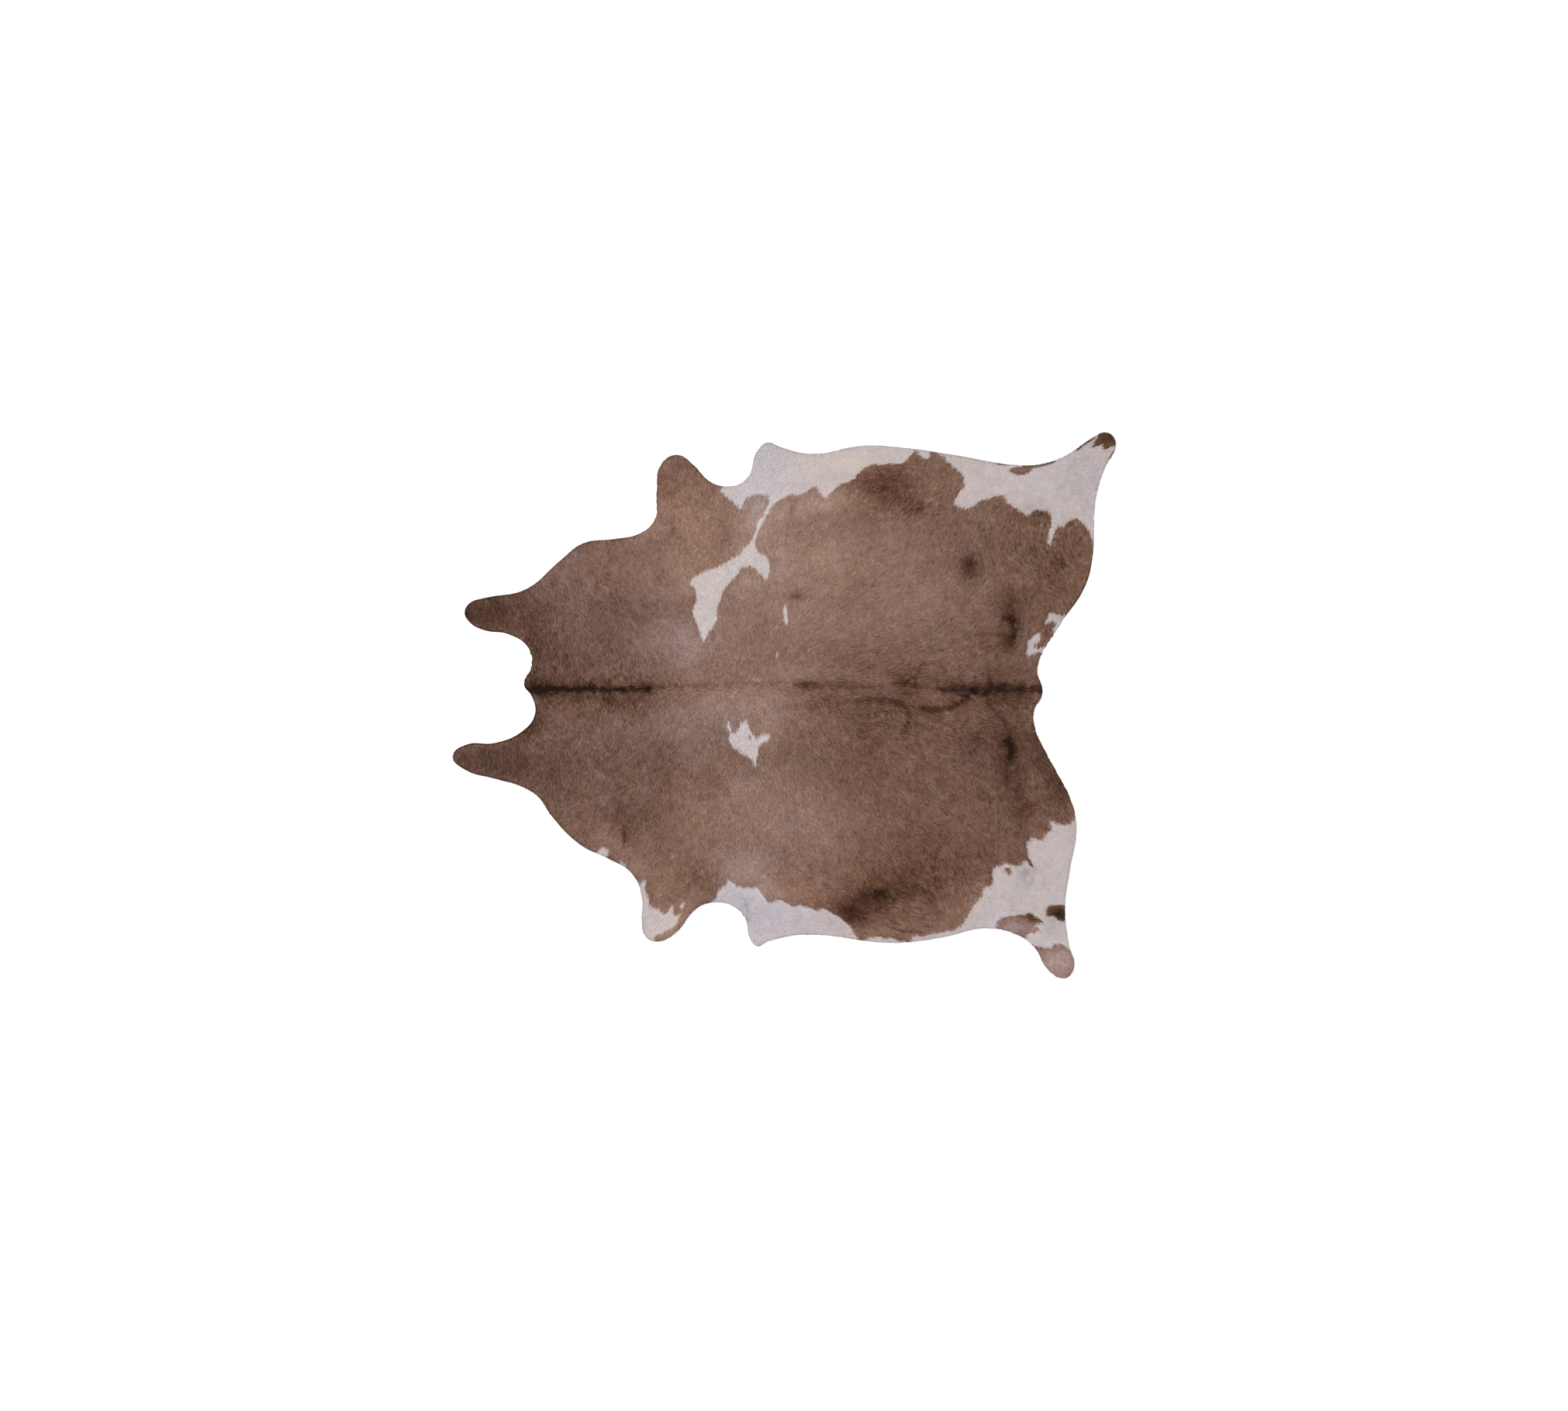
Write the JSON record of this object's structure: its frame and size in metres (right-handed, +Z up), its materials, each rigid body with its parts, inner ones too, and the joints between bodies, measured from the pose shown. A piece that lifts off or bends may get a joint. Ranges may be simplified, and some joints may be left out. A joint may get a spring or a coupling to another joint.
{
  "type": "cowhide rug",
  "caption": "Whole cowhide rug lying flat, hair side up, with neck lugs, leg ends and a softly uneven coat over a flat underside.",
  "frame": {"origin": "middle of the hide's length and width, on its flat underside", "axes": "+X along the back from the neck to the tail, +Y towards the animal's right side, +Z up out of the coat"},
  "size_m": [2.3092, 1.901, 0.0064],
  "materials": {
    "cowhide": "hair-on leather, short lying coat, mid brown with white patches, softly sheened"
  },
  "bodies": {
    "root": {"hide": "cowhide"}
  },
  "joints": []
}
